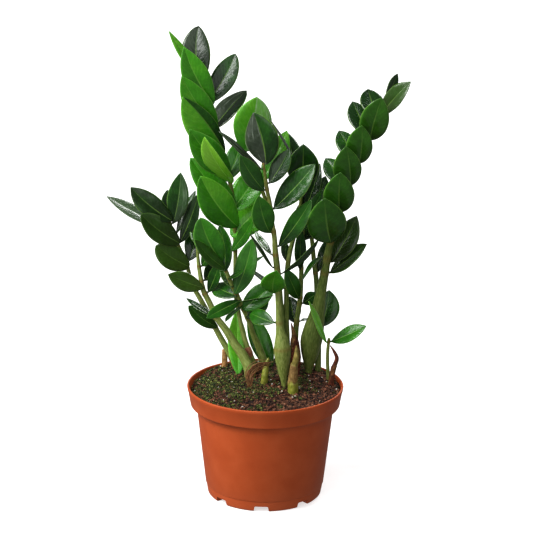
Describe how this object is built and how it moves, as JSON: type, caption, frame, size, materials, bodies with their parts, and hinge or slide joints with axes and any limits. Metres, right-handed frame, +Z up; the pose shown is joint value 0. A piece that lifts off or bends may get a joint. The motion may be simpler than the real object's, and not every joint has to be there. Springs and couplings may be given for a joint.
{
  "type": "potted zz plant",
  "caption": "Houseplant with fleshy upright stems and ranks of glossy oval leaflets, growing from dark potting soil in a tapered plastic nursery pot with a collar and a notched base.",
  "frame": {"origin": "the middle of the pot's flat base, where it rests", "axes": "+Z up through the pot's axis, the front of the plant faces -Y, +X to its right"},
  "size_m": [0.305, 0.174, 0.474],
  "materials": {
    "pot": "satin",
    "soil": "matte",
    "stem": "satin",
    "leaf": "gloss",
    "shoot": "satin",
    "dry_sheath": "matte",
    "dry_stub": "matte"
  },
  "bodies": {
    "root": {"pot": "pot", "soil": "soil", "stem_centre": "stem", "stem_centre_back": "stem", "stem_left_back": "stem", "stem_left_front": "stem", "stem_middle_back": "stem", "stem_middle_front": "stem", "stem_right_back": "stem", "stem_right_inner": "stem", "stem_right_short": "stem", "stem_right_tall": "stem", "stem_tall_left": "stem", "leaves_centre_back_left": "leaf", "leaves_centre_back_right": "leaf", "leaves_centre_left": "leaf", "leaves_centre_right": "leaf", "leaves_left_back_left": "leaf", "leaves_left_back_rear": "leaf", "leaves_left_back_right": "leaf", "leaves_left_front_left": "leaf", "leaves_left_front_right": "leaf", "leaves_middle_back_front": "leaf", "leaves_middle_back_left": "leaf", "leaves_middle_back_right": "leaf", "leaves_middle_front_left": "leaf", "leaves_middle_front_right": "leaf", "leaves_right_back_left": "leaf", "leaves_right_back_right": "leaf", "leaves_right_inner_left": "leaf", "leaves_right_inner_rear": "leaf", "leaves_right_inner_right": "leaf", "leaves_right_short_left": "leaf", "leaves_right_short_right": "leaf", "leaves_right_tall_back": "leaf", "leaves_right_tall_front": "leaf", "leaves_right_tall_inner": "leaf", "leaves_right_tall_low": "leaf", "leaves_tall_left_left": "leaf", "leaves_tall_left_right": "leaf", "cutting_left": "leaf", "cutting_right": "leaf", "curled_bract": "dry_sheath", "cut_stub": "dry_stub", "dry_sheath": "dry_sheath", "withered_shoot": "dry_sheath", "young_shoot_front": "shoot", "young_shoot_small": "shoot"}
  },
  "joints": []
}
